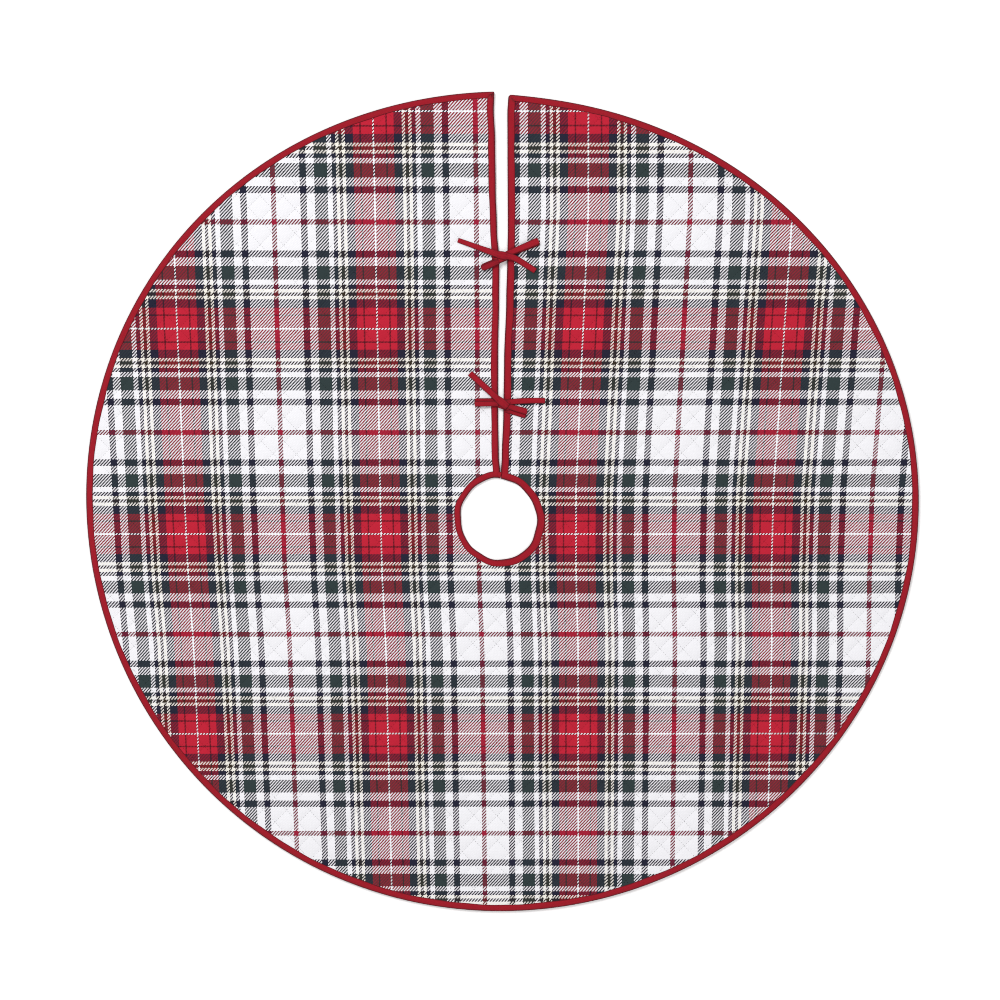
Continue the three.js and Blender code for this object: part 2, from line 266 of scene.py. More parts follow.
def plaid_nodes(f):
    """The plaid's colour and the height of its threads, as a two-up two-down twill."""
    u, v = [f.math("ADD", axis, f.between(f.noise(22, 1, stretch=stretch), -0.5, 0.5))
            for axis, stretch in zip(f.weave(), ((1, 0.3, 1), (0.3, 1, 1)))]
    column, row = f.math("FLOOR", u), f.math("FLOOR", v)

    def yarn(thread):
        middle = f.math("ADD", thread, 0.5)
        share = f.math("DIVIDE", f.math("PINGPONG", middle, HALF_REPEAT), HALF_REPEAT)
        node = f.tree.nodes.new("ShaderNodeValToRGB")
        f.tree.links.new(share, node.inputs[0])
        ramp, place = node.color_ramp, 0
        ramp.interpolation = "CONSTANT"
        for i, (count, name) in enumerate(SETT):
            stop = ramp.elements[0] if i == 0 else ramp.elements.new(place / HALF_REPEAT)
            stop.position, stop.color = place / HALF_REPEAT, linear(*YARNS[name])
            place += count
        while len(ramp.elements) > len(SETT):
            ramp.elements.remove(ramp.elements[-1])
        return node.outputs[0]

    step = f.math("SUBTRACT", column, row)
    warp_up = f.math("LESS_THAN", f.math("FRACT", f.math("DIVIDE", step, 4.0)), 0.5)
    yarn_across, yarn_up = yarn(row), yarn(column)
    on_top = f.mix(warp_up, yarn_across, yarn_up)

    def rounded(place):
        across = f.math("SUBTRACT", f.math("MULTIPLY", f.math("FRACT", place), 2.0), 1.0)
        return f.math("SUBTRACT", 1.0, f.math("MULTIPLY", across, across))

    def along(place, start):
        phase = f.math("FRACT", f.math("DIVIDE", f.math("ADD", place, start), 4.0))
        return f.math("ABSOLUTE", f.math("SINE", f.math("MULTIPLY", phase, 2 * math.pi)))

    warp = f.math("MULTIPLY", rounded(u), along(f.math("SUBTRACT", column, v), 1.0))
    weft = f.math("MULTIPLY", rounded(v), along(f.math("SUBTRACT", u, row), 0.0))
    height = f.add("Mix", {0: warp_up, 2: weft, 3: warp})

    # Where light and dark yarns cross, the yarn on top is darkened the more, the darker it is: painted shade,
    # as if it lay in the light yarn's shade.
    # Each float also gets painted shade at its edges, which stands partly for the dark yarn showing between
    # the light one's floats, and a little painted highlight on its crown.
    # Where two dark yarns cross, their fibres mingle and the red is dulled.
    yarns = (yarn_across, yarn_up, on_top)
    reds, greens = [[f.add("SeparateColor", {0: c}, i) for c in yarns] for i in (0, 1)]
    lighter = f.math("MAXIMUM", greens[0], greens[1])
    both_dark = f.add("MapRange", {0: lighter, 1: 0.1, 2: 0.3, 3: 0.6, 4: 0.0})
    colour = f.mix(both_dark, on_top, f.mix(0.5, yarn_across, yarn_up))
    red_apart = f.math("ABSOLUTE", f.math("SUBTRACT", reds[0], reds[1]))
    apart = f.math("MAXIMUM", f.math("ABSOLUTE", f.math("SUBTRACT", greens[0], greens[1])),
                   f.math("MULTIPLY", red_apart, 0.75))
    edge = f.math("SUBTRACT", 1.0, f.add("Mix", {0: warp_up, 2: rounded(v), 3: rounded(u)}))
    shaded = f.math("MULTIPLY", f.math("MULTIPLY", apart, f.math("SUBTRACT", 1.0, greens[2])), 0.62)
    float_light_and_shade = f.math("MULTIPLY", apart, f.math("SUBTRACT", 0.09, f.math("MULTIPLY", edge, 0.62)))
    keep = [f.math("MULTIPLY", f.math("ADD", 1.0, float_light_and_shade),
                   f.math("SUBTRACT", 1.0, f.math("MULTIPLY", shaded, share))) for share in (0.8, 1.0, 0.8)]
    duller = f.math("MULTIPLY", f.math("MULTIPLY", both_dark, red_apart), 0.5)
    keep[0] = f.math("MULTIPLY", keep[0], f.math("SUBTRACT", 1.0, duller))
    keep = f.add("CombineColor", dict(enumerate(keep)))
    return f.mix(1.0, colour, keep, "MULTIPLY"), height


def make_plaid():
    f = Finish("plaid_twill", 0.9, sheen=0.04)
    colour, height = plaid_nodes(f)
    # Painted shade between the threads: each thread is darker towards its edges, down to 0.86.
    colour = f.mix(1.0, colour, f.grey(f.between(height, 0.86, 1.0)), "MULTIPLY")
    fibre = f.between(f.noise(2600, 3), 0.93, 1.05)
    cloud = f.between(f.noise(7, 3), 0.97, 1.02)
    colour = f.mix(1.0, colour, f.grey(f.math("MULTIPLY", fibre, cloud)), "MULTIPLY")
    return f.finish(colour, height, 0.00022, 0.6)


def make_quilting_thread():
    """Clear thread: it takes the colour of the cloth that it pulls down, darkened to 0.28 to 0.42 of it as
    painted shade of the groove it sits in.
    """
    f = Finish("quilting_thread", 0.5)
    colour, _ = plaid_nodes(f)
    shade = f.between(f.noise(900, 2), 0.28, 0.42)
    return f.finish(f.mix(1.0, colour, f.grey(shade), "MULTIPLY"), f.noise(4000, 1), 0.00005)


def plain_weave(f, u, v, pitch, bias=False):
    """How high the threads of a plain weave stand, from cloth coordinates in millimetres."""
    if bias:
        u, v = f.math("ADD", u, v), f.math("SUBTRACT", u, v)
        pitch *= math.sqrt(2)
    u, v = f.math("DIVIDE", u, pitch), f.math("DIVIDE", v, pitch)
    cell = f.math("ADD", f.math("FLOOR", u), f.math("FLOOR", v))
    over = f.math("LESS_THAN", f.math("FRACT", f.math("DIVIDE", cell, 2.0)), 0.5)
    hills = [f.math("ABSOLUTE", f.math("SINE", f.math("MULTIPLY", axis, math.pi))) for axis in (u, v)]
    sharp = [f.math("POWER", hill, 0.5) for hill in hills]
    return f.add("Mix", {0: over, 2: f.math("MULTIPLY", hills[0], sharp[1]),
                         3: f.math("MULTIPLY", hills[1], sharp[0])})


def make_tape():
    """Red cotton cut on the bias, puckered a little where it is sewn round a curve."""
    f = Finish("red_bias_tape", 0.84, sheen=0.05)
    along, across = f.weave()
    height = plain_weave(f, along, across, 0.42, bias=True)
    place = f.add("CombineXYZ", {0: along, 1: across, 2: 0.0})
    pucker = f.noise(1.0, 2, at=place, stretch=(0.16, 0.05, 1))
    # Painted shade in the weave: the red is darker where the threads sink.
    colour = f.mix(f.between(height, 0, 1), linear(132, 10, 28), linear(176, 22, 40))
    # Painted shade where `fold` marks it: the tape's folded edges, hem, cut ends and gathers.
    deeper = f.add("Attribute", {}, "Fac", attribute_name="fold", attribute_type="GEOMETRY")
    colour = f.mix(deeper, colour, linear(84, 4, 20))
    worn = f.between(f.noise(1.0, 4, at=place, stretch=(0.05, 0.4, 1)), 0.86, 1.12)
    fibre = f.between(f.noise(2400, 3), 0.92, 1.06)
    colour = f.mix(1.0, colour, f.grey(f.math("MULTIPLY", worn, fibre)), "MULTIPLY")
    relief = f.math("ADD", f.math("MULTIPLY", height, 0.16), pucker)
    return f.finish(colour, relief, 0.0009, 0.8)


def make_thread(name, colour):
    f = Finish(name, 0.5, sheen=0.1)
    twist = f.noise(1800, 2)
    base = f.mix(twist, linear(*[c * 0.78 for c in colour]), linear(*colour))
    return f.finish(base, twist, 0.00006)


def make_backing():
    f = Finish("backing_cotton", 0.92, sheen=0.1)
    place = f.add("TexCoord", {}, "Object")
    u, v = [f.math("MULTIPLY", f.add("SeparateXYZ", {0: place}, i), 1000.0) for i in (0, 1)]
    height = plain_weave(f, u, v, 0.5)
    slub = f.between(f.noise(60, 3, stretch=(0.15, 4, 1)), 0.0, 1.0)
    colour = f.mix(slub, linear(226, 221, 210), linear(240, 237, 229))
    # Painted shade between the threads, down to 0.88.
    colour = f.mix(1.0, colour, f.grey(f.between(height, 0.88, 1.0)), "MULTIPLY")
    colour = f.mix(1.0, colour, f.grey(f.between(f.noise(5, 3), 0.96, 1.03)), "MULTIPLY")
    return f.finish(colour, height, 0.00018, 0.6)


def make_batting():
    f = Finish("cotton_batting", 0.98)
    tuft = f.noise(220, 6)
    colour = f.mix(tuft, linear(224, 220, 210), linear(250, 248, 242))
    return f.finish(colour, tuft, 0.001)


def make_label():
    f = Finish("satin_label", 0.42, sheen=0.1)
    along = f.weave()[1]
    ribs = f.math("ABSOLUTE", f.math("SINE", f.math("MULTIPLY", along, math.pi / 0.3)))
    colour = f.mix(f.between(f.noise(90, 2), 0, 1), linear(232, 231, 228), linear(247, 247, 245))
    # Painted shade in the valleys between the ribs, down to 0.93.
    colour = f.mix(1.0, colour, f.grey(f.between(ribs, 0.93, 1.0)), "MULTIPLY")
    return f.finish(colour, ribs, 0.00005)


def make_floor():
    f = Finish("pale_floor", 0.95)
    fleck = f.between(f.noise(3, 2), 0, 1)
    f.shader.inputs["Emission Color"].default_value = (1, 1, 1, 1)
    f.shader.inputs["Emission Strength"].default_value = 0.1
    return f.finish(f.mix(fleck, [0.93, 0.93, 0.93, 1], [0.95, 0.95, 0.95, 1]), fleck, 0.0001)


PLAID, TAPE, BACKING, BATTING = make_plaid(), make_tape(), make_backing(), make_batting()
CLEAR_THREAD_GROOVE_SHADE, LABEL = make_quilting_thread(), make_label()
RED_THREAD = make_thread("red_thread", (172, 26, 44))
PALE_THREAD = make_thread("pale_thread", (236, 232, 222))

# ------------------------------------------------------------------ making a piece


FOLD_REACH = 0.011  # how far each side of the middle line the cloth bends, in metres


def crease(mesh):
    """Cuts the mesh along lines beside the fold, so that it can bend there smoothly."""
    cut = bmesh.new()
    cut.from_mesh(mesh)
    for x in np.linspace(-FOLD_REACH, FOLD_REACH, 13):
        near = [v for v in cut.verts if abs(v.co.x) < 0.03]
        edges = {e for v in near for e in v.link_edges}
        faces = {f for v in near for f in v.link_faces}
        bmesh.ops.bisect_plane(cut, geom=[*near, *edges, *faces], plane_co=(x, 0, 0), plane_no=(1, 0, 0))
    cut.to_mesh(mesh)
    cut.free()


def piece(name, points, faces, material, weave=None, nodes=(), bake=None, fold=None, creased=False):
    """A mesh piece from points in millimetres over a skirt that lies dead flat, with its cloth coordinates.
    `fold` is how much painted shade a tape gets, up to 1: along its folded edges and hem, at its cut ends and
    in its gathers.
    The piece takes up the lie of the cloth."""
    points = np.array(points, float)
    points[:, 2] += ease_of_cloth(points[:, 0], points[:, 1])
    mesh = bpy.data.meshes.new(name)
    mesh.from_pydata((points * MM).tolist(), [], [list(map(int, f)) for f in faces])
    mesh.polygons.foreach_set("use_smooth", np.ones(len(mesh.polygons), bool))
    if weave is not None:
        attribute = mesh.attributes.new("weave", "FLOAT_VECTOR", "POINT")
        attribute.data.foreach_set("vector", np.asarray(weave, np.float32).ravel())
    if fold is not None:
        mesh.attributes.new("fold", "FLOAT", "POINT").data.foreach_set("value", np.asarray(fold, np.float32))
    if bake is not None:
        mesh.uv_layers.new(name="OFBake").data.foreach_set("uv", np.asarray(bake, np.float32).ravel())
    mesh.materials.append(material)
    mesh.update()
    if creased:
        crease(mesh)
    obj = bpy.data.objects.new(name, mesh)
    bpy.context.scene.collection.objects.link(obj)
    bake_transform(obj)
    if nodes:
        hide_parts(*nodes)
    return obj


def joined(parts):
    """Several straps' (points, faces, weave, fold) as one."""
    faces, start = [], 0
    for points, part_faces, *_ in parts:
        faces += [[i + start for i in face] for face in part_faces]
        start += len(points)
    points, weave, fold = [np.concatenate([part[i] for part in parts]) for i in (0, 2, 3)]
    return points, faces, weave, fold


# ------------------------------------------------------------------ ties: free tails and loops of folded tape


def smooth_line(controls, step):
    """A smooth line through its control points, as points about one step apart."""
    c = np.array(controls, float)
    ends = np.concatenate([[2 * c[0] - c[1]], c, [2 * c[-1] - c[-2]]])
    line = []
    for p0, p1, p2, p3 in zip(ends, ends[1:], ends[2:], ends[3:]):
        for t in np.arange(0, 1, 1 / 16):
            line.append(0.5 * (2 * p1 + (p2 - p0) * t + (2 * p0 - 5 * p1 + 4 * p2 - p3) * t ** 2
                               + (3 * p1 - p0 - 3 * p2 + p3) * t ** 3))
    line = np.array(line + [c[-1]])
    gone = np.concatenate([[0], np.cumsum(np.linalg.norm(np.diff(line, axis=0), axis=1))])
    at = np.linspace(0, gone[-1], max(8, int(round(gone[-1] / step))) + 1)
    return np.stack([np.interp(at, gone, line[:, i]) for i in range(3)], -1), at


def strap(controls, width, thick=1.7, across=None, gather=(0, 0), dish=0.0, nip=0.0, deep=0.0, step=1.1):
    """Folded tape along a line. Its width lies level, or along `across`. `gather` is how hard each end is
    drawn into folds, `dish` how far its edges hang below its middle, `nip` how much narrower a loop is where
    it turns, and `deep` how much painted shade lies all over it."""
    line, gone = smooth_line(controls, step)
    share = gone / gone[-1]
    ahead = np.gradient(line, axis=0)
    ahead /= np.linalg.norm(ahead, axis=1)[:, None]
    if across is None:
        level = np.stack([-ahead[:, 1], ahead[:, 0], 0 * gone], -1)
    else:
        level = np.tile(np.array([*across, 0.0]), (len(line), 1))
    level /= np.linalg.norm(level, axis=1)[:, None]
    up = np.cross(ahead, level)
    width = np.interp(share, np.linspace(0, 1, len(np.atleast_1d(width))), np.atleast_1d(width))
    width = width * (1 - nip * np.exp(-((gone - gone[-1] / 2) / 3.2) ** 2))
    # The section, from the sewn edge round to itself: flat, with round edges and a dip at the seam.
    turn = np.linspace(0, 2 * math.pi, 29)[:-1]
    side = np.sign(np.cos(turn)) * np.abs(np.cos(turn)) ** 0.62
    rise = np.sign(np.sin(turn)) * np.abs(np.sin(turn)) ** 0.62
    seam = np.exp(-((side - 0.74) / 0.09) ** 2) * 0.28
    drawn = gather[0] * (1 - eased(gone, 0, 13)) + gather[1] * (1 - eased(gone[-1] - gone, 0, 13))
    end = np.minimum(eased(gone, -0.6, 0.5), eased(gone[-1] - gone, -0.6, 0.5))
    rings, weave, fold = [], [], []
    for i, centre in enumerate(line):
        half = width[i] / 2
        folds = drawn[i] * (0.42 * np.cos(side * 7.5 + 0.7) - 0.2 * np.sin(side * 13))
        lift = rise * (thick / 2) * end[i] * (1 - seam) + dish * (0.5 - side ** 2) + folds
        rings.append(centre + np.outer(side * half * (0.9 + 0.1 * end[i]), level[i]) + np.outer(lift, up[i]))
        weave.append(np.stack([0 * side + gone[i], turn / math.pi * half * 2, 0 * side], -1))
        # Painted shade, kept in `fold`: on the tape's rounded edges, at its cut ends, in the hollows of its
        # gathers, and all over by `deep`.
        crease = drawn[i] * 0.55 * np.clip(-np.cos(side * 7.5 + 0.7), 0, 1)
        fold.append(np.clip(0.8 * eased(np.abs(side), 0.62, 1) + 0.5 * (1 - end[i]) + crease + deep, 0, 1))
    n = len(turn)
    faces = [[i * n + k, i * n + (k + 1) % n, (i + 1) * n + (k + 1) % n, (i + 1) * n + k]
             for i in range(len(line) - 1) for k in range(n)]
    faces += [list(range(n))[::-1], [(len(line) - 1) * n + k for k in range(n)]]
    return np.concatenate(rings), faces, np.concatenate(weave), np.concatenate(fold), line


# Heights of a tie's middle: on the cloth, on the tape, doubled, on top.
REST, LOW, HIGH, OVER = 6.2, 6.9, 10.4, 12.0


def tie(name, geometry, nodes):
    points, faces, weave, fold, line = geometry
    obj = piece(name, points, faces, TAPE, weave, nodes, fold=fold)
    path = line.copy()
    path[:, 2] += ease_of_cloth(path[:, 0], path[:, 1])
    return obj


def loop_controls(root, tip, apart, low=LOW, high=HIGH):
    """Out to the tip on the lower leg, over, and back to the knot on the upper leg, which lies beside it."""
    root, tip = np.array(root, float), np.array(tip, float)
    out = (tip - root) / np.linalg.norm(tip - root)
    beside = np.array([-out[1], out[0]]) * apart / 2
    length, bend = np.linalg.norm(tip - root), (high - low) / 2
    lower = [(*(root + out * d - beside), low) for d in (0, length * 0.35, length * 0.7)]
    turn = [(*(root + out * (length - bend + bend * math.cos(a)) + beside * math.sin(a)),
             low + bend + bend * math.sin(a)) for a in (-1.25, -0.6, 0, 0.6, 1.25)]
    upper = [(*(root + out * d + beside), z) for d, z in
             ((length * 0.72, high - 0.1), (length * 0.4, high - 0.3), (0, high - 0.1))]
    return lower + turn + upper, (-out[1], out[0])


def tail(bow, name, controls, width, **shape):
    return tie(f"{bow}_{name}", strap(controls, width, **shape), [f"{bow}_bow_{name}"])


def loop(bow, name, root, tip, width, apart, **shape):
    controls, across = loop_controls(root, tip, apart)
    geometry = strap(controls, width, across=across, **shape)
    return tie(f"{bow}_{name}", geometry, [f"{bow}_bow_{name}"])


tail("upper", "left_tail",
     [[-5.6, 361.2, OVER], [-14, 364.2, 11.3], [-26, 368.6, 8.7], [-45, 375.8, REST + 0.3],
      [-65, 382.9, REST]],
     [9.8, 9.0, 8.0, 7.4, 7.0], gather=(0.8, 0), dish=0.5)
tail("upper", "right_tail",
     [[5.6, 359.2, OVER], [14, 357.6, 11.9], [21, 354.7, 10.9], [29, 350.2, 8.2],
      [38, 344.6, REST + 0.3], [48.2, 338, REST]],
     [9.2, 9.2, 9.0, 8.8, 8.6], gather=(0.9, 0), dish=0.4)
# Three loops get painted shade all over, the upper left one most.
loop("upper", "left_loop", [-5.6, 352.8], [-30.4, 341.8], [7.2, 8.6, 8.8, 8.6, 8.0], 2.2,
     gather=(0.5, 0.9), nip=0.5, deep=0.25)
loop("upper", "right_loop", [5.6, 361.4], [52.9, 381.0], [7.6, 8.4, 9.6, 10.4, 9.6, 8.4, 7.6], 1.4,
     gather=(0.5, 0.8), dish=0.4, nip=0.3)
tail("lower", "left_tail",
     [[-5.6, 149.4, OVER], [-13, 156.3, OVER], [-18, 161, 11.2], [-26, 168.4, 8.6],
      [-36, 177.7, REST + 0.3], [-47.4, 188.3, REST]],
     [9.2, 9.2, 9.1, 9.0], gather=(0.7, 0), dish=0.4)
tail("lower", "right_tail",
     [[5.6, 145.3, 8.6], [15, 146.4, 8.2], [28, 147.6, 7.0], [45, 148.2, REST + 0.1],
      [62.3, 148.1, REST]],
     [8.6, 8.4, 8.2, 8.0], gather=(0.6, 0), dish=0.3)
loop("lower", "left_loop", [-5.6, 145.8], [-40.3, 145.4], [7.4, 7.8, 8.2, 7.8, 7.6], 4.4,
     gather=(0.8, 1.0), nip=0.3, deep=0.1)
loop("lower", "right_loop", [5.6, 137.6], [35.2, 129.2], [7.6, 8.8, 9.4, 8.8, 7.8], 5.6,
     gather=(1.0, 1.2), nip=0.25, deep=0.1)


def knot(bow, start, end, under):
    """The tape drawn over everything, on top of what is wrapped beneath it."""
    start, end = np.array(start, float), np.array(end, float)
    ahead = (end - start) / np.linalg.norm(end - start)
    middle = (start + end) / 2
    over = strap([(*(start - ahead * 2.5), 11.75), (*start, 12.0), (*middle, 12.15), (*end, 12.0),
                  (*(end + ahead * 2.5), 11.7)], [9.8, 11.2, 12.0, 11.4, 10.2], thick=1.5,
                 gather=(0.9, 0.9), dish=0.7)[:4]
    wraps = [strap([(*place, z) for place, z in path], width, thick=2.2, gather=(0.6, 0.6), dish=0.5)[:4]
             for path, width in under]
    points, faces, weave, fold = joined([over, *wraps])
    return piece(f"{bow}_knot", points, faces, TAPE, weave, [f"{bow}_bow_knot"], fold=fold)


# What lies under the top strap: the two loops' ends drawn across the slit, and the tape wrapped round them.
knot("upper", (-5.6, 361.2), (5.6, 359.2), [
    ([((-11, 353.0), 7.8), ((-4, 354.6), 9.3), ((3, 358.2), 9.9), ((11, 363.2), 8.4)], [8.2, 9.6, 9.8, 8.4]),
    ([((-12, 350.2), 7.2), ((-3, 353.8), 7.6), ((6, 357.6), 7.6), ((12, 360.6), 7.0)], [7.4, 8.6, 8.6, 7.6]),
])
knot("lower", (-5.6, 149.4), (5.6, 140.4), [
    ([((-12, 146.6), 7.8), ((-4, 144.6), 9.3), ((4, 144.0), 9.7), ((12, 145.6), 8.4)], [8.0, 9.0, 9.0, 7.6]),
    ([((-11, 144.2), 7.2), ((-3, 141.2), 7.8), ((5, 138.8), 8.4), ((11, 136.6), 7.8)], [7.6, 8.6, 8.8, 8.0]),
])

# ------------------------------------------------------------------ face, batting and backing


def quilt_cells(marks, inset):
    """Cells between the quilting lines that cover the cloth, drawn in at its edges.
    Returns each corner's place and side of the slit, and the cells as corner numbers."""
    (angle_a, apart_a, first_a), (angle_b, apart_b, first_b) = QUILTING.values()
    reach = int((CLEAR_OF_RIM + 40) / min(apart_a, apart_b))
    lines = (np.arange(-reach, reach)[:, None] + np.array(marks)).ravel()
    a, b = np.meshgrid(lines * apart_a + first_a, lines * apart_b + first_b, indexing="ij")
    spread = math.sin(angle_b - angle_a)
    flat = np.stack([(a * math.sin(angle_b) - b * math.sin(angle_a)) / spread,
                     (b * math.cos(angle_a) - a * math.cos(angle_b)) / spread], -1).reshape(-1, 2)
    n = len(lines)
    index = np.arange(n * n).reshape(n, n)
    cells = np.stack([index[:-1, :-1], index[1:, :-1], index[1:, 1:], index[:-1, 1:]], -1).reshape(-1, 4)
    middle = flat[cells].mean(1)
    cells = cells[np.hypot(middle[:, 0], middle[:, 1]) < CLEAR_OF_RIM]
    middle = flat[cells].mean(1)
    side = side_of(middle[:, 0], middle[:, 1])

    # Beside the slit every cell is there once for each flap, and its corners belong to that flap.
    def beside_slit(p, far, low):
        return (p[:, 1] > SLIT_FOOT + low) & (np.abs(p[:, 0] - slit_middle(p[:, 1])) < far)

    twice = beside_slit(middle, 32, -12)
    cells, side = np.concatenate([cells, cells[twice]]), np.concatenate([side, -side[twice]])
    own = beside_slit(flat, 16, 0)[cells]
    keys = cells + n * n * np.where(own, side[:, None] + 2, 0)
    keys, first, back = np.unique(keys.ravel(), return_index=True, return_inverse=True)
    corners = flat[cells.ravel()[first]].copy()
    corner_side = np.where(own.ravel()[first], np.repeat(side, 4)[first], side_of(*corners.T))
    cells = back.reshape(-1, 4)

    spare = room(corners[:, 0], corners[:, 1], corner_side) - inset
    # A cell of one flap is dropped when all its corners lie outside that flap.
    spare_for_cell = room(corners[cells, 0], corners[cells, 1], side[:, None]) - inset
    cells = cells[(spare_for_cell > 0.2).any(1)]
    for _ in range(4):
        x, y = corners.T
        spare = room(x, y, corner_side) - inset
        slope = np.stack([room(x + 0.05, y, corner_side) - room(x - 0.05, y, corner_side),
                          room(x, y + 0.05, corner_side) - room(x, y - 0.05, corner_side)], -1) / 0.1
        out = spare < 0
        size = np.maximum((slope ** 2).sum(1), 0.25)
        corners[out] -= (slope * (spare / size)[:, None])[out]
    used, cells = np.unique(cells, return_inverse=True)
    return corners[used], corner_side[used], cells.reshape(-1, 4)


def layer(name, marks, inset, heights, material, nodes, plaid=False):
    """A closed layer of the quilt between two heights."""
    corners, side, cells = quilt_cells(marks, inset)
    x, y = corners.T
    top, bottom = heights(x, y, room(x, y, side))
    p = corners[cells]
    turn = np.cross(p[:, 2] - p[:, 0], p[:, 3] - p[:, 1])
    if np.median(turn) < 0:
        cells = cells[:, ::-1]
    n = len(corners)
    edges = np.concatenate([cells[:, [i, (i + 1) % 4]] for i in range(4)])
    there, back = edges[:, 0] * n + edges[:, 1], edges[:, 1] * n + edges[:, 0]
    rim = edges[~np.isin(there, back)]
    walls = np.stack([rim[:, 1], rim[:, 0], rim[:, 0] + n, rim[:, 1] + n], -1)
    faces = np.concatenate([cells, cells[:, ::-1] + n, walls])
    points = np.concatenate([np.column_stack([corners, top]), np.column_stack([corners, bottom])])
    weave = np.tile(threads(x, y, side), (2, 1)) if plaid else None
    flat = points[:, :2] / (SKIRT_WIDTH + 6) + 0.5
    return piece(name, points, faces, material, weave, nodes, bake=flat[faces.ravel()], creased=True)


FINE = [0, 0.08, 0.33, 0.67, 0.92]
face = layer("plaid_face_cloth", FINE, 1.6,
             lambda x, y, r: (face_height(x, y, r), face_height(x, y, r) - 0.6),
             PLAID, ["face_left", "face_right"], plaid=True)
backing = layer("backing_cloth", FINE, 1.6,
                lambda x, y, r: (back_height(x, y, r) + 0.5, back_height(x, y, r)),
                BACKING, ["backing_left", "backing_right"])
batting = layer("batting_pad", [0, 0.5], 2.4,
                lambda x, y, r: (face_height(x, y, r) - 0.8, back_height(x, y, r) + 0.7),
                BATTING, ["batting_left", "batting_right"])

# ------------------------------------------------------------------ bindings

# The folded tape in section, as (how far in from the edge, height), from its lower hem round the fold,
# over to its upper hem and back along the inside.
SECTION = [(9.9, 0.95), (10.0, 0.6), (9.6, 0.28), (9.0, 0.24), (8.6, 0.44), (8.1, 0.26), (6.5, 0.1),
           (4.3, 0.06), (2.4, 0.3), (1.1, 0.95), (0.3, 1.9), (0.0, 3.0), (0.3, 4.1), (1.1, 5.05),
           (2.4, 5.7), (4.3, 5.96), (6.5, 5.92), (8.1, 5.74), (8.6, 5.54), (9.0, 5.72), (9.6, 5.66),
           (10.0, 5.3), (9.9, 4.9), (8.0, 5.02), (4.0, 5.1), (1.5, 4.6), (0.8, 3.0), (1.5, 1.4),
           (4.0, 0.9), (8.0, 0.95)]
SEAM_POINTS = [4, 18]  # the section's points where the seam dents it, below and on top
IN, UP = np.array(SECTION, float).T
GIRTH = np.concatenate([[0], np.cumsum(np.hypot(np.diff(IN), np.diff(UP)))])


def tape(name, rings, gone, nodes, closed=False):
    """Folded tape from its rings, each an array of plan points, one for every point of the section."""
    rings = np.array(rings)
    n, m = rings.shape[:2]
    crown = np.sin(math.pi * np.clip((IN - 1) / 8, 0, 1)) * np.where(UP > 3, 1, 0)
    ripple = 0.13 * np.sin(gone / 4.1) * np.sin(gone / 17.0 + 1.0) + 0.1 * np.sin(gone / 9.3 + 2.0)
    height = UP[None, :] + crown[None, :] * ripple[:, None]
    points = np.concatenate([rings, height[:, :, None]], -1).reshape(-1, 3)
    weave = np.stack([np.repeat(gone, m), np.tile(GIRTH, n), np.zeros(n * m)], -1)
    # Painted shade, kept in `fold`: along the tape's folded outer edge and beside its inner hem.
    fold = np.tile(np.clip(1 - eased(IN, 0.3, 2.9) + 0.8 * eased(IN, 8.5, 9.8), 0, 1), n)
    spans = n if closed else n - 1
    rows = max(1, int(round(math.sqrt((gone[-1] - gone[0]) / GIRTH[-1]))))
    per_row = math.ceil(spans / rows)
    faces, bake = [], []
    for i in range(spans):
        j, row, place = (i + 1) % n, i // per_row, i % per_row
        for k in range(m):
            faces.append([i * m + k, j * m + k, j * m + (k + 1) % m, i * m + (k + 1) % m])
            low, high = (row + 0.02 + 0.96 * k / m) / rows, (row + 0.02 + 0.96 * (k + 1) / m) / rows
            near, far = place / per_row, (place + 1) / per_row
            bake += [(near, low), (far, low), (far, high), (near, high)]
    if not closed:
        for face_ring in (list(range(m)), [(n - 1) * m + k for k in reversed(range(m))]):
            faces.append(face_ring)
            bake += [(0.5 + 0.004 * math.cos(k), 0.001 + 0.0008 * math.sin(k)) for k in range(m)]
    return piece(name, points, faces, TAPE, weave, nodes, bake=bake, fold=fold, creased=True)


def across_ring(edge, inward, width):
    return edge[None, :] + np.outer(IN * width / TAPE_WIDTH, inward)


def unit(v):
    return v / np.linalg.norm(v)


class Corner:
    """The corner of one flap, where the slit tape and the rim tape meet in a mitred fold."""

    def __init__(self, side):
        angle = math.pi / 2
        for _ in range(20):
            at = rim_point(np.array(angle))
            angle += side * (at[0] - slit_edge(side, at[1])) * side / rim_radius(np.array(angle))
        self.angle, self.point = angle, rim_point(np.array(angle))
        x0, x1 = slit_edge(side, self.point[1] - 20), self.point[0]
        # Both run away from the corner.
        self.down = unit(np.array([x0 - x1, -20.0]))  # along the slit edge
        step = -side * 0.02
        self.away = unit(rim_point(np.array(angle + step)) - self.point)  # along the rim
        self.round = CORNER_ROUND[side]
        slit_in, rim_in = self.away, self.down
        self.mitre = (slit_in + rim_in) / (1 + slit_in @ rim_in)

    def rings(self, along, inward, width, stand_off):
        """The rings of one tape near the corner, from the first full one to the mitre."""
        inset = IN * width / TAPE_WIDTH
        centre = self.point + self.mitre * self.round
        made = []
        for e in (1.25 * width, self.round + 0.01):
            reach = np.maximum(e, inset)
            made.append(self.point + np.outer(reach, along) + np.outer(inset, inward))
        for turn in (0.5, 1.0):
            facing = unit((1 - turn) * -inward + turn * -unit(self.mitre))
            on_arc = centre + np.outer(np.maximum(self.round - inset, 0), facing)
            on_mitre = self.point + np.outer(inset, self.mitre)
            plan = np.where((inset < self.round)[:, None], on_arc, on_mitre)
            made.append(plan + along * stand_off * turn)
        return made


def hem(gone, phase):
    """The tape's width is a little uneven by hand."""
    return 0.35 * np.sin(gone / 23 + phase) + 0.22 * np.sin(gone / 8.7 + 2 * phase)


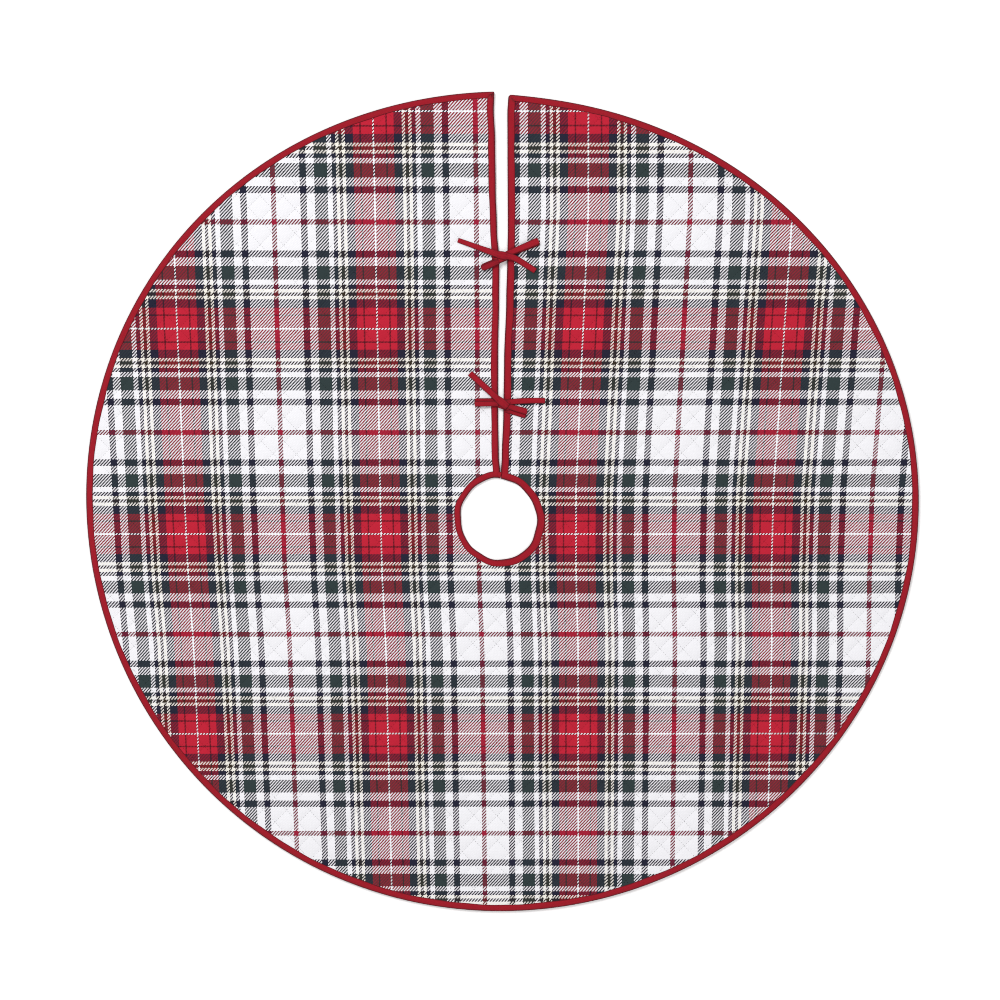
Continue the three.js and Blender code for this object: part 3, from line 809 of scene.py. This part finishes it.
CORNERS = {side: Corner(side) for side in (LEFT, RIGHT)}
SEAMS = []  # for each tape, the plan points of its seam below and on top
MITRE_LAP = 0.12  # how far one tape's mitre stands off the other's


def with_gone(rings):
    outer = np.array(rings)[:, IN.argmin()]
    return np.concatenate([[0], np.cumsum(np.linalg.norm(np.diff(outer, axis=0), axis=1))])


def slit_tape(name, side, width):
    corner, foot = CORNERS[side], SLIT_FOOT + 5
    rings = []
    for y in np.arange(foot, corner.point[1] - 1.3 * width, 4.0):
        edge = np.array([float(slit_edge(side, y)), y])
        ahead = unit(np.array([float(slit_edge(side, y + 2) - slit_edge(side, y - 2)), 4.0]))
        inward = np.array([ahead[1], -ahead[0]]) * side
        rings.append(across_ring(edge, inward, width + hem(y, side)))
    rings += corner.rings(corner.down, corner.away, width, MITRE_LAP)
    SEAMS.append(np.array(rings)[:-4, SEAM_POINTS])
    if side == RIGHT:
        rings = rings[::-1]
    return tape(f"slit_tape_{name}", rings, with_gone(rings), [f"slit_binding_{name}"])


slit_tapes = [slit_tape("left", LEFT, 10.2), slit_tape("right", RIGHT, 10.8)]


def rim_tape():
    left, right = CORNERS[LEFT], CORNERS[RIGHT]
    width, radius, corner_reach = 9.8, 600, 13.5
    start = left.angle + corner_reach / radius
    stop = right.angle + 2 * math.pi - corner_reach / radius
    angles = np.linspace(start, stop, 740)
    edge = rim_point(angles)
    ahead = rim_point(angles + 0.001) - rim_point(angles - 0.001)
    ahead /= np.linalg.norm(ahead, axis=1)[:, None]
    inward = np.stack([-ahead[:, 1], ahead[:, 0]], -1)
    middle = [across_ring(e, i, width + hem(a * radius, 1.3)) for e, i, a in zip(edge, inward, angles)]
    SEAMS.append(np.array(middle)[:, SEAM_POINTS])
    first = left.rings(left.away, left.down, width, MITRE_LAP)[::-1]
    last = right.rings(right.away, right.down, width, MITRE_LAP)
    rings = first + middle + last
    return tape("rim_tape", rings, with_gone(rings), ["rim_binding_left", "rim_binding_right"])


def hole_tape():
    """The tape round the trunk hole, open at the slit."""
    middle = (slit_edge(LEFT, SLIT_FOOT) + slit_edge(RIGHT, SLIT_FOOT)) / 2 - HOLE_CENTRE[0]
    centre, gap = math.pi / 2 - middle / HOLE_RADIUS, 0.42 / HOLE_RADIUS
    angles = np.linspace(centre + gap, centre + 2 * math.pi - gap, 150)
    edge = hole_point(angles)
    ahead = hole_point(angles + 0.002) - hole_point(angles - 0.002)
    ahead /= np.linalg.norm(ahead, axis=1)[:, None]
    outward = np.stack([ahead[:, 1], -ahead[:, 0]], -1)
    widths = 10.1 + 1.2 * np.cos(angles) + hem(angles * 57, 0.4)
    rings = [across_ring(e, o, w) for e, o, w in zip(edge, outward, widths)][::-1]
    SEAMS.append(np.array(rings)[:, SEAM_POINTS])
    return tape("hole_tape", rings, with_gone(rings), ["hole_binding_left", "hole_binding_right"])


tapes = [rim_tape(), hole_tape(), *slit_tapes]

# ------------------------------------------------------------------ stitches


def stitches(name, middles, ahead, length, width, rise, material, weave=None, down=False):
    """Separate stitches, each a little spindle that sinks into the cloth at both ends."""
    n = len(middles)
    beside = np.stack([-ahead[:, 1], ahead[:, 0], 0 * ahead[:, 0]], -1)
    ahead = np.column_stack([ahead, np.zeros(n)])
    up = np.array([0, 0, -1.0 if down else 1.0])
    corners = np.stack([middles - ahead * length / 2 - up * 0.1, middles + ahead * length / 2 - up * 0.1,
                        middles + beside * width / 2, middles - beside * width / 2,
                        middles + up * rise, middles - up * 0.15], 1)
    spindle = np.array([[4, 0, 3], [4, 3, 1], [4, 1, 2], [4, 2, 0],
                        [5, 3, 0], [5, 1, 3], [5, 2, 1], [5, 0, 2]])
    if down:
        spindle = spindle[:, ::-1]
    faces = (np.arange(n)[:, None, None] * 6 + spindle[None]).reshape(-1, 3)
    threaded = None if weave is None else np.repeat(weave, 6, axis=0)
    return piece(name, corners.reshape(-1, 3), faces, material, threaded)


STITCH_LENGTH, STITCH_PITCH = 3.1, 3.7
LINES_EACH_WAY = 28
UNDER_TAPE = 11.2  # how far in from an edge the quilting comes out from under the tape


def quilting(way, surface):
    angle, apart, first = QUILTING[way]
    facing = np.array([math.cos(angle), math.sin(angle)])
    along = np.array([-facing[1], facing[0]])
    lines = first + apart * np.arange(-LINES_EACH_WAY, LINES_EACH_WAY)
    places = np.arange(-CLEAR_OF_RIM, CLEAR_OF_RIM, STITCH_PITCH)
    starts = 0.9 * np.arange(2 * LINES_EACH_WAY) % STITCH_PITCH  # no two lines' stitches fall in step
    gone = places[None, :] + starts[:, None]
    middles = (lines[:, None, None] * facing + gone[..., None] * along).reshape(-1, 2)
    x, y = middles.T
    side = side_of(x, y)
    inside = room(x, y, side)
    kept = (inside > UNDER_TAPE) & (np.hypot(x, y) < CLEAR_OF_RIM)
    x, y, side, inside = x[kept], y[kept], side[kept], inside[kept]
    ahead = np.tile(along, (len(x), 1))
    if surface == "face":
        # The face stitches are wide and dark: partly the clear thread, partly painted shade of the groove it
        # pulls down.
        middles = np.column_stack([x, y, face_height(x, y, inside) + 0.04])
        return stitches(f"quilting_{way}_face", middles, ahead, STITCH_LENGTH, 0.8, 0.2, CLEAR_THREAD_GROOVE_SHADE,
                        threads(x, y, side))
    middles = np.column_stack([x, y, back_height(x, y, inside) - 0.04])
    return stitches(f"quilting_{way}_back", middles, ahead, STITCH_LENGTH, 0.42, 0.2, PALE_THREAD,
                    down=True)


quilt_lines = {surface: [quilting(way, surface) for way in QUILTING] for surface in ("face", "back")}


def seam(name, which, down):
    """The row of stitches near the inner edge of every tape."""
    middles, ways = [], []
    for line in SEAMS:
        flat = line[:, which]
        gone = np.concatenate([[0], np.cumsum(np.linalg.norm(np.diff(flat, axis=0), axis=1))])
        at = np.arange(2.0, gone[-1] - 2.0, 3.0)
        spots = np.stack([np.interp(at, gone, flat[:, i]) for i in (0, 1)], -1)
        ahead = np.stack([np.interp(at + 1, gone, flat[:, i]) - np.interp(at - 1, gone, flat[:, i])
                          for i in (0, 1)], -1)
        middles.append(spots)
        ways.append(ahead / np.linalg.norm(ahead, axis=1)[:, None])
    middles, ways = np.concatenate(middles), np.concatenate(ways)
    height = 0.4 if down else 5.6
    middles = np.column_stack([middles, np.full(len(middles), height)])
    return stitches(name, middles, ways, 2.4, 0.45, 0.2, RED_THREAD, down=down)


seams = [seam("seam_on_top", 1, False), seam("seam_underneath", 0, True)]

# ------------------------------------------------------------------ care label


def care_label():
    """A blank satin label under the rim, caught by one end in the tape."""
    low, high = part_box("care_label")
    middle = np.array([(low.x + high.x) / 2, (low.y + high.y) / 2]) / MM
    inward = unit(-middle)
    beside = np.array([-inward[1], inward[0]])
    length, width, n, m = 30.0, 20.0, 30, 20
    points, weave, faces = [], [], []
    for layer_z in (0.42, 0.16):
        for i in range(n + 1):
            for k in range(m + 1):
                a, b = (i / n - 0.5) * length, (k / m - 0.5) * width
                curl = 0.05 * math.sin(a / 4) - 0.08 * (abs(b) / 10) ** 3
                points.append([*(middle + inward * a + beside * b), layer_z + curl])
                weave.append([a, b, 0])
    size = (n + 1) * (m + 1)
    for i in range(n):
        for k in range(m):
            a = i * (m + 1) + k
            cell = [a, a + m + 1, a + m + 2, a + 1]
            faces += [cell, [size + corner for corner in (cell[0], cell[3], cell[2], cell[1])]]
    edge = ([i * (m + 1) for i in range(n + 1)] + [n * (m + 1) + k for k in range(1, m + 1)]
            + [i * (m + 1) + m for i in range(n - 1, -1, -1)] + list(range(m - 1, 0, -1)))
    faces += [[b, a, a + size, b + size] for a, b in zip(edge, edge[1:] + edge[:1])]
    return piece("satin_care_label", points, faces, LABEL, weave, ["care_label"])


label = care_label()

# ------------------------------------------------------------------ floor and light

bpy.ops.mesh.primitive_plane_add(size=14, location=(0, 0, -0.0003))
floor = bpy.context.object
floor.name = "floor"
floor.data.materials.append(make_floor())

world = bpy.data.worlds.new("studio")
bpy.context.scene.world = world
world.use_nodes = True
world.node_tree.nodes["Background"].inputs["Color"].default_value = (1, 1, 1, 1)
world.node_tree.nodes["Background"].inputs["Strength"].default_value = 0.55


def soft_light(name, place, size, power):
    data = bpy.data.lights.new(name, "AREA")
    data.size, data.energy = size, power
    light = bpy.data.objects.new(name, data)
    bpy.context.scene.collection.objects.link(light)
    light.location = place
    light.rotation_mode = "QUATERNION"
    light.rotation_quaternion = (-Vector(place)).to_track_quat("-Z", "Y")


soft_light("key", (-1.6, 2.0, 3.9), 1.6, 118)
soft_light("fill", (1.8, -1.5, 4.2), 2.5, 48)
bpy.context.scene.view_settings.view_transform = "Standard"
# The twill is as fine as the picture: a narrow pixel filter and unfiltered guides keep its lines.
bpy.context.scene.cycles.filter_width = 1.0
bpy.context.scene.cycles.denoising_prefilter = "NONE"
